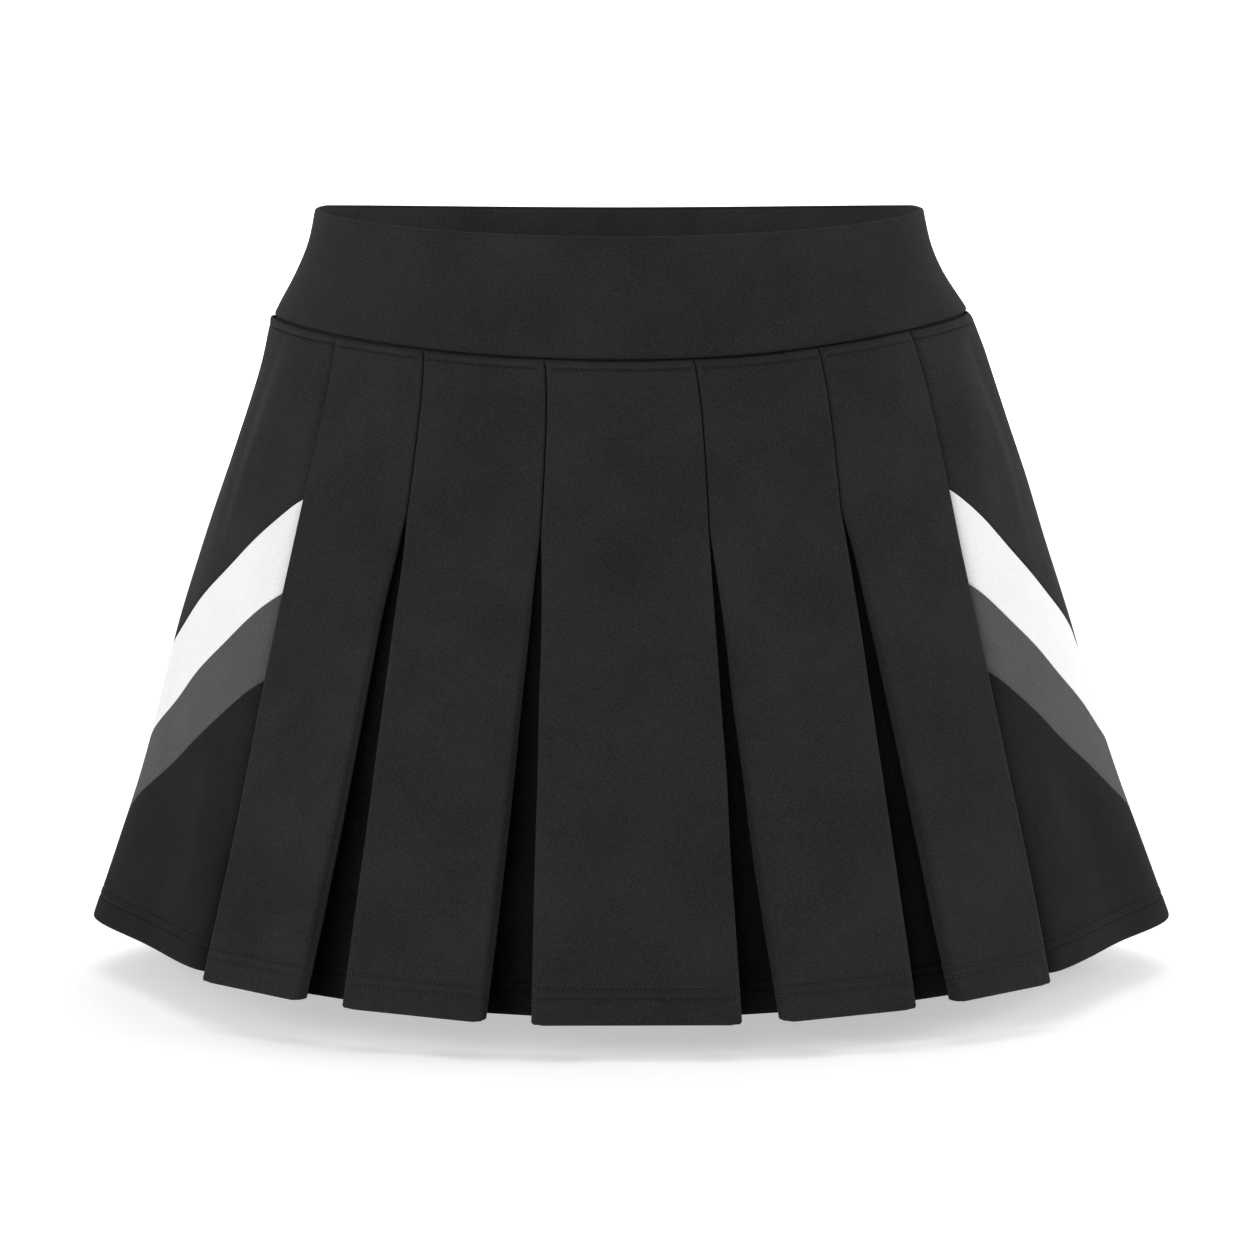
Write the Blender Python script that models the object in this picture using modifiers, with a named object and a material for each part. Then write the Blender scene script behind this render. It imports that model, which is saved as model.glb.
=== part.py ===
"""A pleated cheerleading skirt with a wide waistband and striped side gores.

Metres, +Z up, and the front faces -Y. The origin is the centre of the waist opening, level with the band's
top edge at the sides. Left and right are those of someone looking at the front.

The skirt keeps the hollow form that it has when worn. Its cloth runs round rings, one below the other. A
place on the cloth is the way along a ring from the middle of the front or back, the ring's drop below the
waist, and the inset, how far the cloth lies inside the ring. Sizes in the tables are in millimetres.
"""

import math
from bisect import bisect_right
from collections import namedtuple
from functools import lru_cache

import bpy
from mathutils import Vector

MM = 0.001

# Cloth: each wall is measured at the middle of its thickness
CLOTH = 1.0 * MM  # one layer of double knit
BAND_CLOTH = 2.4 * MM  # the band is folded double
SEAM_GAP = 0.3 * MM  # between two pieces that are sewn together
SIDE_SEAM_GAP = 0.6 * MM  # the same at the side seams, where the walls' outer corners lean together
CUT_GAP = 0.4 * MM  # the same between a side gore's cuts, measured straight down across their slope
FOLD_RADIUS = 0.72 * MM  # of a pressed fold
LAYER = 2 * FOLD_RADIUS  # from one folded layer to the next

# Rings round the body, from the waist down to the hem. The front of a ring hangs lower than its sides by
# front_dip, which fades towards the sides the faster the higher dip_power is. swing moves the ring to +X.
Ring = namedtuple("Ring", "drop half_width front_depth back_depth front_dip dip_power swing")
RINGS = (
    Ring(0.0, 136.0, 98.0, 98.0, 12.5, 1.2, 0.1),
    Ring(15.0, 139.2, 100.0, 101.0, 12.8, 1.4, 0.1),
    Ring(29.0, 145.0, 104.5, 107.0, 13.0, 1.6, 0.1),
    Ring(47.5, 155.3, 112.2, 115.7, 13.4, 2.0, 0.9),
    Ring(49.0, 155.6, 112.5, 116.0, 13.5, 2.0, 0.9),
    Ring(49.8, 157.7, 114.8, 118.6, 13.6, 2.0, 1.0),
    Ring(52.5, 158.9, 115.9, 119.9, 13.7, 2.0, 1.3),
    Ring(74.0, 165.5, 121.0, 127.0, 13.7, 2.1, 2.6),
    Ring(110.0, 177.7, 132.0, 139.0, 13.2, 2.2, 2.9),
    Ring(146.5, 190.0, 145.0, 151.0, 12.5, 2.3, 2.5),
    Ring(183.5, 201.9, 157.0, 163.0, 11.7, 2.4, 2.8),
    Ring(220.0, 212.3, 168.0, 174.0, 10.8, 2.5, 3.4),
    Ring(257.0, 223.6, 178.0, 184.0, 9.9, 2.6, 4.4),
    Ring(294.5, 237.0, 187.0, 193.0, 9.2, 2.7, 5.2),
    Ring(325.0, 248.0, 195.0, 201.0, 8.7, 2.7, 5.6),
)
BAND_DROPS = (0.0, 7.0, 18.0, 30.0, 40.0, 47.5, 49.0)  # the last stretch turns straight down to its seam
SKIRT_TOP = 49.8
HEM = 325.0

# Pleats, from left to right along the front. Each is stitched shut from the band down to stitch_drop, and
# then opens: below it the gores' folded edges part, and are hem_left and hem_right at the hem. On the way
# down, an edge bows by bow_left or bow_right, to +X. The cloth behind the opening lies hem_depth inside the
# ring at the hem. The first and last are the side gores' pleats, which only have the outer gore's edge.
Pleat = namedtuple("Pleat", "name seam stitch_end stitch_drop hem_left hem_right bow_left bow_right hem_depth")
PLEATS = (
    Pleat("side_left", -134.0, -150.5, 118.0, -198.0, -198.0, 0.0, 0.0, 13.0),
    Pleat("outer_left", -86.5, -95.3, 119.5, -138.5, -123.1, -2.0, 0.0, 12.0),
    Pleat("inner_left", -32.0, -35.6, 124.0, -58.8, -40.8, 0.0, 0.0, 16.0),
    Pleat("inner_right", 31.5, 35.6, 123.0, 45.5, 59.3, 0.0, 0.0, 17.0),
    Pleat("outer_right", 87.5, 94.3, 118.5, 121.4, 136.2, 0.0, 2.0, 12.0),
    Pleat("side_right", 137.5, 152.7, 117.0, 191.7, 191.7, 3.0, 3.0, 13.0),
)
GORES = ("outer_left", "inner_left", "centre", "inner_right", "outer_right")  # between two pleats each
TUCK_SEAM = 15.0  # how far a folded edge turns back under its gore, at the band,
TUCK_STITCH = 18.0  # where its pleat opens,
TUCK_HEM = 22.0  # and at the hem
FOLDED_DEPTH = 2.9  # from a gore to the layer behind its folded edge, where the pleat is stitched shut
SIDE_SLACK = 0.5  # how much deeper than FOLDED_DEPTH a side gore starts under its pleat's edge
SIDE_RECESS_HEM = 8.0  # how far a side gore lies inside its pleat's edge at the hem
SIDE_RECESS_SPAN = 0.35  # the share of a side gore's width in which it comes back out to the ring
SIDE_HEM_LIFT = 2.0  # how much higher a side gore's hem is at its pleat
SIDE_ROUNDING = 4  # power by which a side gore rounds into the side seam

# Cuts of a side gore, whose stripes point down at the side seam: the drop of each cut's lower edge, at the
# left or right pleat and at the side seam, and the shares of the way down it at which its wall has a row
Cut = namedtuple("Cut", "name material at_left_pleat at_right_pleat at_side rows")
CUTS = (
    Cut("upper", "black_knit", 119.0, 115.0, 204.0, (0.0, 0.04, 0.35, 0.67, 1.0)),
    Cut("white_stripe", "white_knit", 159.0, 155.0, 245.0, (0.0, 0.33, 0.67, 1.0)),
    Cut("grey_stripe", "grey_knit", 196.0, 192.0, 278.0, (0.0, 0.33, 0.67, 1.0)),
    Cut("lower", "black_knit", HEM - SIDE_HEM_LIFT, HEM - SIDE_HEM_LIFT, HEM, (0.0, 0.2, 0.4, 0.6, 0.8, 1.0)),
)

# How finely the walls are faceted
STITCHED_ROWS = (0.0, 0.04, 0.35, 0.67, 1.0)  # shares of the way from the band to where a pleat opens
OPEN_ROWS = (0.1, 0.28, 0.48, 0.68, 0.86, 1.0)  # shares of the way from there to the hem
FOLD_STEPS = 3
GORE_STEPS = 5
INSERT_STEPS = 3
BAND_STEPS = 24
SIDE_SHARES = (0.0, 0.1, 0.22, 0.36, 0.55, 0.76, 0.9, 1.0)
RING_STEPS = 60

COLOURS = {
    "black_knit": (0.024, 0.022, 0.0225, 1.0),
    "white_knit": (0.86, 0.86, 0.88, 1.0),
    "grey_knit": (0.093, 0.089, 0.091, 1.0),
}
KNIT_ROUGHNESS = 0.85


def mix(a, b, share):
    return a + (b - a) * share


def smooth(share):
    """0 to 1, level at both ends."""
    share = min(max(share, 0.0), 1.0)
    return share * share * (3 - 2 * share)


# ---------------------------------------------------------------- the rings


def slopes(column):
    """How fast a column of RINGS changes with the drop, at each ring."""
    found = []
    for i in range(len(RINGS)):
        above = RINGS[max(i - 1, 0)]
        below = RINGS[min(i + 1, len(RINGS) - 1)]
        found.append((getattr(below, column) - getattr(above, column)) / (below.drop - above.drop))
    return found


RING_SLOPES = {column: slopes(column) for column in Ring._fields[1:]}


@lru_cache(maxsize=None)
def ring_at(drop):
    """The ring at any drop, on a smooth curve through RINGS."""
    i = min(max(bisect_right([ring.drop for ring in RINGS], drop) - 1, 0), len(RINGS) - 2)
    upper, lower = RINGS[i], RINGS[i + 1]
    span = lower.drop - upper.drop
    t = (drop - upper.drop) / span
    values = [drop]
    for column in Ring._fields[1:]:
        slope = RING_SLOPES[column]
        values.append(
            (1 + 2 * t) * (1 - t) ** 2 * getattr(upper, column)
            + t * (1 - t) ** 2 * span * slope[i]
            + t * t * (3 - 2 * t) * getattr(lower, column)
            - t * t * (1 - t) * span * slope[i + 1]
        )
    return Ring(*values)


def ring_depth(face, drop):
    ring = ring_at(drop)
    return ring.front_depth if face == "front" else ring.back_depth


@lru_cache(maxsize=None)
def ring_ways(face, drop):
    """The way along a quarter of a ring, from the middle of this face to each of evenly spaced angles."""
    width, depth = ring_at(drop).half_width, ring_depth(face, drop)
    step = math.pi / 2 / RING_STEPS
    ways = [0.0]
    for i in range(RING_STEPS):
        angle = (i + 0.5) * step
        ways.append(ways[-1] + step * math.hypot(width * math.cos(angle), depth * math.sin(angle)))
    return ways


def side_way(face, drop):
    """The way from the middle of this face to the side seam."""
    return ring_ways(face, drop)[-1]


def ring_angle(face, way, drop):
    ways = ring_ways(face, drop)
    i = min(bisect_right(ways, abs(way)) - 1, RING_STEPS - 1)
    part = (abs(way) - ways[i]) / (ways[i + 1] - ways[i])
    return math.copysign((i + part) * math.pi / 2 / RING_STEPS, way)


def place(face, way, drop, inset=0.0):
    """The point, in metres, at this way along a ring and this far inside it."""
    ring, depth = ring_at(drop), ring_depth(face, drop)
    angle = ring_angle(face, way, drop)
    forward = -1 if face == "front" else 1
    out = Vector((math.sin(angle) / ring.half_width, forward * math.cos(angle) / depth, 0)).normalized()
    dip = ring.front_dip * max(math.cos(angle), 0.0) ** ring.dip_power if face == "front" else 0.0
    on_ring = Vector(
        (
            ring.swing + ring.half_width * math.sin(angle),
            forward * depth * math.cos(angle),
            -drop - dip,
        )
    )
    return (on_ring - out * inset) * MM


# --------------------------------------------------------------- the pleats


def pleat_drop(pleat, row):
    """The drop of a row of the cloth at a pleat. Rows 0 to 1 are stitched shut, and rows 1 to 2 are open."""
    if row <= 1:
        return mix(SKIRT_TOP, pleat.stitch_drop, row)
    return mix(pleat.stitch_drop, HEM, row - 1)


def opened(pleat, drop):
    """How far a pleat has opened at this drop: 0 where it is stitched shut, and 1 at the hem."""
    return max(drop - pleat.stitch_drop, 0.0) / (HEM - pleat.stitch_drop)


def edge_way(pleat, drop, side):
    """Where a pleat's folded edge lies along its ring. Side is -1 for its left edge and 1 for its right one."""
    apart = side * (CLOTH + SEAM_GAP) / MM / 2
    if drop <= pleat.stitch_drop:
        down = (drop - SKIRT_TOP) / (pleat.stitch_drop - SKIRT_TOP)
        return mix(pleat.seam, pleat.stitch_end, down) + apart
    at_hem, bow = (pleat.hem_left, pleat.bow_left) if side < 0 else (pleat.hem_right, pleat.bow_right)
    down = opened(pleat, drop)
    return mix(pleat.stitch_end + apart, at_hem, down) + 4 * down * (1 - down) * bow


def tuck(pleat, drop):
    """How far the folded edges of a pleat turn back under their gores."""
    if drop <= pleat.stitch_drop:
        return mix(TUCK_SEAM, TUCK_STITCH, (drop - SKIRT_TOP) / (pleat.stitch_drop - SKIRT_TOP))
    return mix(TUCK_STITCH, TUCK_HEM, opened(pleat, drop))


def back_depth(pleat, drop):
    """How far inside the ring the cloth behind a pleat lies."""
    return mix(FOLDED_DEPTH, pleat.hem_depth, opened(pleat, drop))


def folded_edge(face, pleat, drop, side):
    """The points of a gore's folded edge, from its tucked end round the fold to where the gore's face begins.

    Side is the pleat's side that the edge is on, which is also the way from the pleat to the gore.
    """
    radius = FOLD_RADIUS / MM
    end_in, end_deep = tuck(pleat, drop), back_depth(pleat, drop) - LAYER / MM
    # The tucked layer runs straight from its end to the fold, and touches the fold's circle
    run, rise = end_in - radius, end_deep - radius
    touch = math.atan2(rise, run) + math.acos(radius / math.hypot(run, rise))
    edge = edge_way(pleat, drop, side)
    points = [place(face, edge + side * end_in, drop, end_deep)]
    for i in range(FOLD_STEPS + 1):
        turn = mix(touch, 1.5 * math.pi, i / FOLD_STEPS)
        across = radius * (1 + math.cos(turn))
        points.append(place(face, edge + side * across, drop, radius * (1 + math.sin(turn))))
    return points


def gore_row(face, left, right, row):
    """One row of a gore between two pleats: a tucked edge, the face and another tucked edge.

    The face follows the ring where the pleats are stitched, and is pressed flat at the hem.
    """
    left_drop, right_drop = pleat_drop(left, row), pleat_drop(right, row)
    near = folded_edge(face, left, left_drop, 1)
    far = folded_edge(face, right, right_drop, -1)
    radius = FOLD_RADIUS / MM
    start = edge_way(left, left_drop, 1) + radius
    end = edge_way(right, right_drop, -1) - radius
    middle = []
    for i in range(1, GORE_STEPS):
        share = i / GORE_STEPS
        round_the_ring = place(face, mix(start, end, share), mix(left_drop, right_drop, share))
        straight_across = near[-1].lerp(far[-1], share)
        middle.append(round_the_ring.lerp(straight_across, max(row - 1, 0.0)))
    return near + middle + far[::-1]


def insert_row(face, pleat, row):
    """One row of the insert behind a pleat, from under one gore to under the next."""
    drop = pleat_drop(pleat, row)
    ends = []
    for side in (-1, 1):
        way = edge_way(pleat, drop, side) + side * tuck(pleat, drop)
        ends.append(place(face, way, drop, back_depth(pleat, drop)))
    return [ends[0].lerp(ends[1], i / INSERT_STEPS) for i in range(INSERT_STEPS + 1)]


# ----------------------------------------------------------- the side gores


def side_point(face, pleat, share, drop):
    """A point of a side gore. Share is 0 at its pleat's edge, 1 at the side seam, and -1 at its tucked end."""
    outward = math.copysign(1, pleat.seam)
    edge = edge_way(pleat, drop, -outward)
    recess = mix(FOLDED_DEPTH + SIDE_SLACK, SIDE_RECESS_HEM, opened(pleat, drop))
    if share <= 0:
        way = edge + outward * share * tuck(pleat, drop)
        return place(face, way, drop, mix(recess, back_depth(pleat, drop) + SIDE_SLACK, -share))
    seam = outward * (side_way(face, drop) - SIDE_SEAM_GAP / MM / 2)
    inset = recess * (1 - smooth(share / SIDE_RECESS_SPAN))
    round_the_ring = place(face, mix(edge, seam, share), drop, inset)
    straight_across = place(face, edge, drop, inset).lerp(place(face, seam, drop), share)
    flat = opened(pleat, drop) * (1 - share**SIDE_ROUNDING)
    return round_the_ring.lerp(straight_across, flat)


def cut_drop(cut, pleat, share):
    """The drop of a cut's lower edge, which runs on level under the pleat."""
    at_pleat = cut.at_left_pleat if pleat.seam < 0 else cut.at_right_pleat
    return mix(at_pleat, cut.at_side, max(share, 0.0))


def side_rows(face, pleat, index):
    """The rows of one cut of a side gore, each from its tucked end to the side seam."""
    cut = CUTS[index]
    rows = [[] for i in cut.rows]
    for share in (-1.0, -0.5) + SIDE_SHARES:
        top = cut_drop(CUTS[index - 1], pleat, share) + CUT_GAP / MM if index else SKIRT_TOP
        bottom = cut_drop(cut, pleat, share)
        for down, row in zip(cut.rows, rows):
            row.append(side_point(face, pleat, share, mix(top, bottom, down)))
    return rows


# -------------------------------------------------------------- the objects


def knit_material(name):
    material = bpy.data.materials.new(name)
    material.use_nodes = True
    shader = material.node_tree.nodes["Principled BSDF"]
    shader.inputs["Base Color"].default_value = COLOURS[name]
    shader.inputs["Roughness"].default_value = KNIT_ROUGHNESS
    shader.inputs["Metallic"].default_value = 0.0
    material.diffuse_color = COLOURS[name]
    return material


def cloth(name, rows, thickness, material, collection):
    """A wall of cloth: an open surface through rows of points, given its thickness."""
    across = len(rows[0])
    quads = [
        (i * across + j, (i + 1) * across + j, (i + 1) * across + j + 1, i * across + j + 1)
        for i in range(len(rows) - 1)
        for j in range(across - 1)
    ]
    mesh = bpy.data.meshes.new(name)
    mesh.from_pydata([point for row in rows for point in row], [], quads)
    mesh.materials.append(material)
    mesh.shade_smooth()
    piece = bpy.data.objects.new(name, mesh)
    collection.objects.link(piece)
    wall = piece.modifiers.new("wall", "SOLIDIFY")
    wall.thickness = thickness
    wall.offset = 0
    wall.use_even_offset = True
    return piece


def make_waistband(face, material, collection):
    """Half of the waistband, from side seam to side seam."""
    rows = []
    for drop in BAND_DROPS:
        end = side_way(face, drop) - SIDE_SEAM_GAP / MM / 2
        rows.append([place(face, mix(-end, end, i / BAND_STEPS), drop) for i in range(BAND_STEPS + 1)])
    cloth(f"waistband_{face}", rows, BAND_CLOTH, material, collection)


def make_gores(face, material, collection):
    """The gores between the pleats, with their edges folded under, and the inserts behind the pleats."""
    levels = STITCHED_ROWS + tuple(1 + share for share in OPEN_ROWS)
    for name, left, right in zip(GORES, PLEATS, PLEATS[1:]):
        rows = [gore_row(face, left, right, level) for level in levels]
        cloth(f"{face}_gore_{name}", rows, CLOTH, material, collection)
    for pleat in PLEATS[1:-1]:
        rows = [insert_row(face, pleat, level) for level in levels]
        cloth(f"{face}_insert_{pleat.name}", rows, CLOTH, material, collection)


def make_side_gore(face, pleat, materials, collection):
    """A side gore from its pleat to the side seam, sewn from four cuts."""
    for index, cut in enumerate(CUTS):
        name = f"{face}_{pleat.name}_{cut.name}"
        cloth(name, side_rows(face, pleat, index), CLOTH, materials[cut.material], collection)


def main():
    for obj in list(bpy.data.objects):
        bpy.data.objects.remove(obj)
    collection = bpy.data.collections.new("cheerleading_skirt")
    bpy.context.scene.collection.children.link(collection)
    materials = {name: knit_material(name) for name in COLOURS}
    for face in ("front", "back"):
        make_waistband(face, materials["black_knit"], collection)
        make_gores(face, materials["black_knit"], collection)
        for pleat in (PLEATS[0], PLEATS[-1]):
            make_side_gore(face, pleat, materials, collection)


main()
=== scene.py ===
import math
from collections import namedtuple

import bpy
import numpy as np
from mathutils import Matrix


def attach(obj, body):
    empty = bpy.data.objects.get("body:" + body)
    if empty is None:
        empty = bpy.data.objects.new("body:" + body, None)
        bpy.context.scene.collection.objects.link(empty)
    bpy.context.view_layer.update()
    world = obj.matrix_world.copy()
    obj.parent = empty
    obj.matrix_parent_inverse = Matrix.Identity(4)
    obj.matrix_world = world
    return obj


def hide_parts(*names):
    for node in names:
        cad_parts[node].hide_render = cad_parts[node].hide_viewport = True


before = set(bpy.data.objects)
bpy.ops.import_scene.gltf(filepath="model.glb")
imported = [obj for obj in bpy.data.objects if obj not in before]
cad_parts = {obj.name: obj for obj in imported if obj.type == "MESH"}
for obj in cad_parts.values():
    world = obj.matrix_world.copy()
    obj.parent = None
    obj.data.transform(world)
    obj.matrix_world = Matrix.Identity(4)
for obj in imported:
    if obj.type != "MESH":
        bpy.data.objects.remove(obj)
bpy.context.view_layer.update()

# Camera. It stands level with the waist, looks a little down at the front of the skirt, and sees it as the
# photograph does. The photograph is square.
PHOTO_SIDE = 1254
FOCAL_PIXELS = 3604.0
LEVEL_ROW = 207  # the row of the photograph that is level with the camera
camera = bpy.data.objects.new("camera", bpy.data.cameras.new("camera"))
camera.data.sensor_width = 36.0
camera.data.lens = FOCAL_PIXELS / PHOTO_SIDE * camera.data.sensor_width
camera.location = (0.0036, -1.640, 0.0)
look_down = math.atan((PHOTO_SIDE / 2 - LEVEL_ROW) / FOCAL_PIXELS)
camera.rotation_euler = (math.pi / 2 - look_down, 0.0, 0.0)
bpy.context.scene.collection.objects.link(camera)
bpy.context.scene.camera = camera

# Waistband. Two shaped pieces of black double knit, front and back, folded double at the top edge. They are
# seamed together at the sides, and their lower edge is sewn to the skirt. The band holds the skirt up.
# Sizes are in millimetres. The cloth runs round rings, one below the other, as it does when it is worn.
MM = 0.001
RINGS = np.array((
    # drop from the waist, half width, depths in front and behind, dip in front, its power, swing, rise to +X
    (0.0, 136.0, 98.0, 98.0, 12.5, 1.2, 0.1, 0.0),
    (15.0, 139.2, 100.0, 101.0, 12.8, 1.4, 0.1, 0.1),
    (29.0, 145.0, 104.5, 107.0, 13.0, 1.6, 0.1, 0.6),
    (46.7, 155.1, 112.2, 115.7, 15.9, 1.7, 0.7, 1.9),
    (48.2, 155.4, 112.5, 116.0, 16.1, 1.7, 0.7, 1.9),
    (49.0, 157.2, 114.6, 118.4, 16.1, 1.7, 0.3, 1.9),
    (51.7, 158.5, 115.7, 119.7, 15.8, 1.7, 1.1, 1.8),
    (74.0, 165.5, 121.0, 127.0, 13.7, 2.1, 2.6, 1.1),
    (110.0, 177.7, 132.0, 139.0, 13.2, 2.2, 2.9, 0.3),
    (146.5, 190.0, 145.0, 151.0, 12.5, 2.3, 2.5, 0.0),
    (183.5, 201.9, 157.0, 163.0, 11.7, 2.4, 2.8, 0.0),
    (220.0, 212.3, 168.0, 174.0, 10.8, 2.5, 3.4, 0.0),
    (257.0, 223.6, 178.0, 184.0, 9.9, 2.6, 4.4, 0.0),
    (294.5, 237.0, 187.0, 193.0, 9.2, 2.7, 5.2, 0.0),
    (325.0, 248.0, 195.0, 201.0, 8.7, 2.7, 5.6, 0.0),
))
DROP, HALF_WIDTH, FRONT_DEPTH, BACK_DEPTH, DIP, DIP_POWER, SWING, RISE = range(8)  # the columns of RINGS
RING_ABOVE = np.vstack((RINGS[:1], RINGS[:-1]))
RING_BELOW = np.vstack((RINGS[1:], RINGS[-1:]))
RING_SLOPES = (RING_BELOW - RING_ABOVE) / (RING_BELOW[:, :1] - RING_ABOVE[:, :1])
RING_STEPS = 60  # in which a quarter of a ring is measured
RISE_FROM, RISE_OVER = 0.25, 0.65  # sine of the angle where the rise begins, and how much more it needs


def mix(a, b, share):
    return a + (b - a) * share


def smooth(share):
    """0 to 1, level at both ends."""
    share = np.clip(share, 0.0, 1.0)
    return share * share * (3 - 2 * share)


def ring_at(drop):
    """The ring at each drop, on a smooth curve through RINGS."""
    i = np.clip(np.searchsorted(RINGS[:, DROP], drop, side="right") - 1, 0, len(RINGS) - 2)
    span = (RINGS[i + 1, DROP] - RINGS[i, DROP])[..., None]
    t = (drop - RINGS[i, DROP])[..., None] / span
    ahead, behind = t * t * (3 - 2 * t), (1 + 2 * t) * (1 - t) ** 2
    leaving, arriving = t * (1 - t) ** 2 * span, t * t * (1 - t) * span
    bend = leaving * RING_SLOPES[i] - arriving * RING_SLOPES[i + 1]
    return behind * RINGS[i] + ahead * RINGS[i + 1] + bend


def ring_size(face, ring):
    """A ring's half width, and its depth on this face."""
    return ring[..., HALF_WIDTH], ring[..., FRONT_DEPTH if face == "front" else BACK_DEPTH]


def ring_ways(face, drop):
    """The way along a ring from the middle of this face to each of evenly spaced angles."""
    width, depth = ring_size(face, ring_at(drop)[..., None, :])
    step = math.pi / 2 / RING_STEPS
    angle = (np.arange(RING_STEPS) + 0.5) * step
    arcs = step * np.hypot(width * np.cos(angle), depth * np.sin(angle))
    return np.concatenate((np.zeros_like(width), np.cumsum(arcs, axis=-1)), axis=-1)


def side_way(face, drop):
    """The way from the middle of this face to the side seam."""
    return ring_ways(face, drop)[..., -1]


def place(face, way, drop, inset=0.0):
    """Points in millimetres, at this way along a ring and this far inside it."""
    way, drop = np.broadcast_arrays(np.asarray(way, float), np.asarray(drop, float))
    ring, ways = ring_at(drop), ring_ways(face, drop)
    i = np.clip((ways <= np.abs(way)[..., None]).sum(-1) - 1, 0, RING_STEPS - 1)
    before = np.take_along_axis(ways, i[..., None], -1)[..., 0]
    after = np.take_along_axis(ways, i[..., None] + 1, -1)[..., 0]
    part = (np.abs(way) - before) / (after - before)
    angle = np.copysign((i + part) * math.pi / 2 / RING_STEPS, way)
    forward = -1 if face == "front" else 1
    width, depth = ring_size(face, ring)
    out_x, out_y = np.sin(angle) / width, forward * np.cos(angle) / depth
    size = np.hypot(out_x, out_y)
    dip = 0.0
    if face == "front":
        dip = ring[..., DIP] * np.maximum(np.cos(angle), 0.0) ** ring[..., DIP_POWER]
    rise = ring[..., RISE] * smooth((np.sin(angle) - RISE_FROM) / RISE_OVER)
    x = ring[..., SWING] + width * np.sin(angle) - out_x / size * inset
    y = forward * depth * np.cos(angle) - out_y / size * inset
    return np.stack((x, y, rise - drop - dip), axis=-1)


def lengths(points, axis):
    """How far each point is from the first one, along a row (axis 1) or down a column (axis 0)."""
    steps = np.linalg.norm(np.diff(points, axis=axis), axis=-1)
    start = np.zeros_like(np.take(steps, [0], axis=axis))
    return np.concatenate((start, np.cumsum(steps, axis=axis)), axis=axis)


def unit(vectors):
    return vectors / np.maximum(np.linalg.norm(vectors, axis=-1, keepdims=True), 1e-9)


def heading(points, axis):
    """The direction of a grid's lines at each point."""
    steps = unit(np.diff(points, axis=axis))
    first, last = np.take(steps, [0], axis=axis), np.take(steps, [-1], axis=axis)
    return unit(np.concatenate((first, steps), axis=axis) + np.concatenate((steps, last), axis=axis))


def outward(face, points):
    """The normal of a grid of cloth that hangs on this face, on the side that shows."""
    turn = 1 if face == "front" else -1
    return turn * unit(np.cross(heading(points, 0), heading(points, 1)))


WAVES, WAVE_PEAK = 7, 3.2  # how many waves make a ripple, and about how high they add up
WAVE_DRAW = 0.7  # how much the cloth's weight draws them out downwards


def ripples(across, down, seed, longest=90.0, shortest=38.0):
    """Soft uneven waves from about -1 to 1, as cloth has that was folded and worn."""
    random = np.random.default_rng(seed)
    total = 0.0
    for _ in range(WAVES):
        turn, phase = random.uniform(0, 2 * math.pi, 2)
        wave = 2 * math.pi / random.uniform(shortest, longest)
        total = total + np.sin(wave * (math.cos(turn) * across + WAVE_DRAW * math.sin(turn) * down) + phase)
    return total / WAVE_PEAK


RIM = (math.pi / 4, 0.0, -math.pi / 4)  # turns at which the rounded edge of a wall has a line of points


def border_of(rows, across):
    """The rows and the columns of the points once round a grid."""
    border = [(0, j) for j in range(across)] + [(i, across - 1) for i in range(1, rows)]
    border += [(rows - 1, j) for j in range(across - 2, -1, -1)] + [(i, 0) for i in range(rows - 2, 0, -1)]
    return np.array(border).T


def wall_faces(rows, across, i, j):
    """The faces of a wall whose border is i, j: its outside, its inside, and the strips of its rim."""
    grid = np.arange(rows * across).reshape(rows, across)
    cells = np.stack((grid[:-1, :-1], grid[1:, :-1], grid[1:, 1:], grid[:-1, 1:]), axis=-1).reshape(-1, 4)
    rim = rows * across + np.arange(len(RIM) * len(i)).reshape(len(RIM), len(i))
    inside = rows * across + rim.size
    loops = [grid[i, j], *rim, inside + grid[i, j]]
    faces = [cells, inside + cells[:, ::-1]]
    for near, far in zip(loops, loops[1:]):
        faces.append(np.stack((near, np.roll(near, -1), np.roll(far, -1), far), axis=-1))
    return np.concatenate(faces)


def add(name, data):
    """A new object in the scene."""
    made = bpy.data.objects.new(name, data)
    bpy.context.scene.collection.objects.link(made)
    return made


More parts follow.
